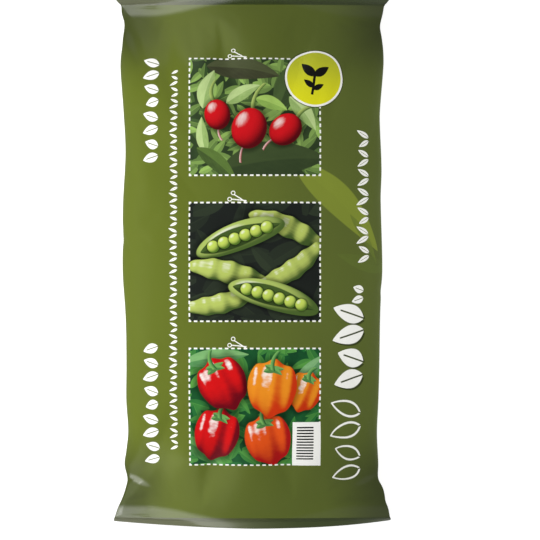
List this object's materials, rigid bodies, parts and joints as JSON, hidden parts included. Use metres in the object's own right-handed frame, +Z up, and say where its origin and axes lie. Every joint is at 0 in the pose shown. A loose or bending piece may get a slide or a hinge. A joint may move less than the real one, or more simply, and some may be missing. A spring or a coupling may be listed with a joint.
{
  "type": "compost bag",
  "caption": "Filled compost bag of printed olive green film, a pillow sealed straight across at both ends, lying on its back.",
  "frame": {"origin": "on the ground under the middle of the bag", "axes": "+Z up out of the printed front, +Y along the bag towards the top of the print as the picture shows it, +X to the right of the print"},
  "size_m": [0.49, 0.9502, 0.1326],
  "materials": {
    "film": "satin polyethylene film, printed"
  },
  "bodies": {
    "root": {"filled_bag": "film"}
  },
  "joints": []
}
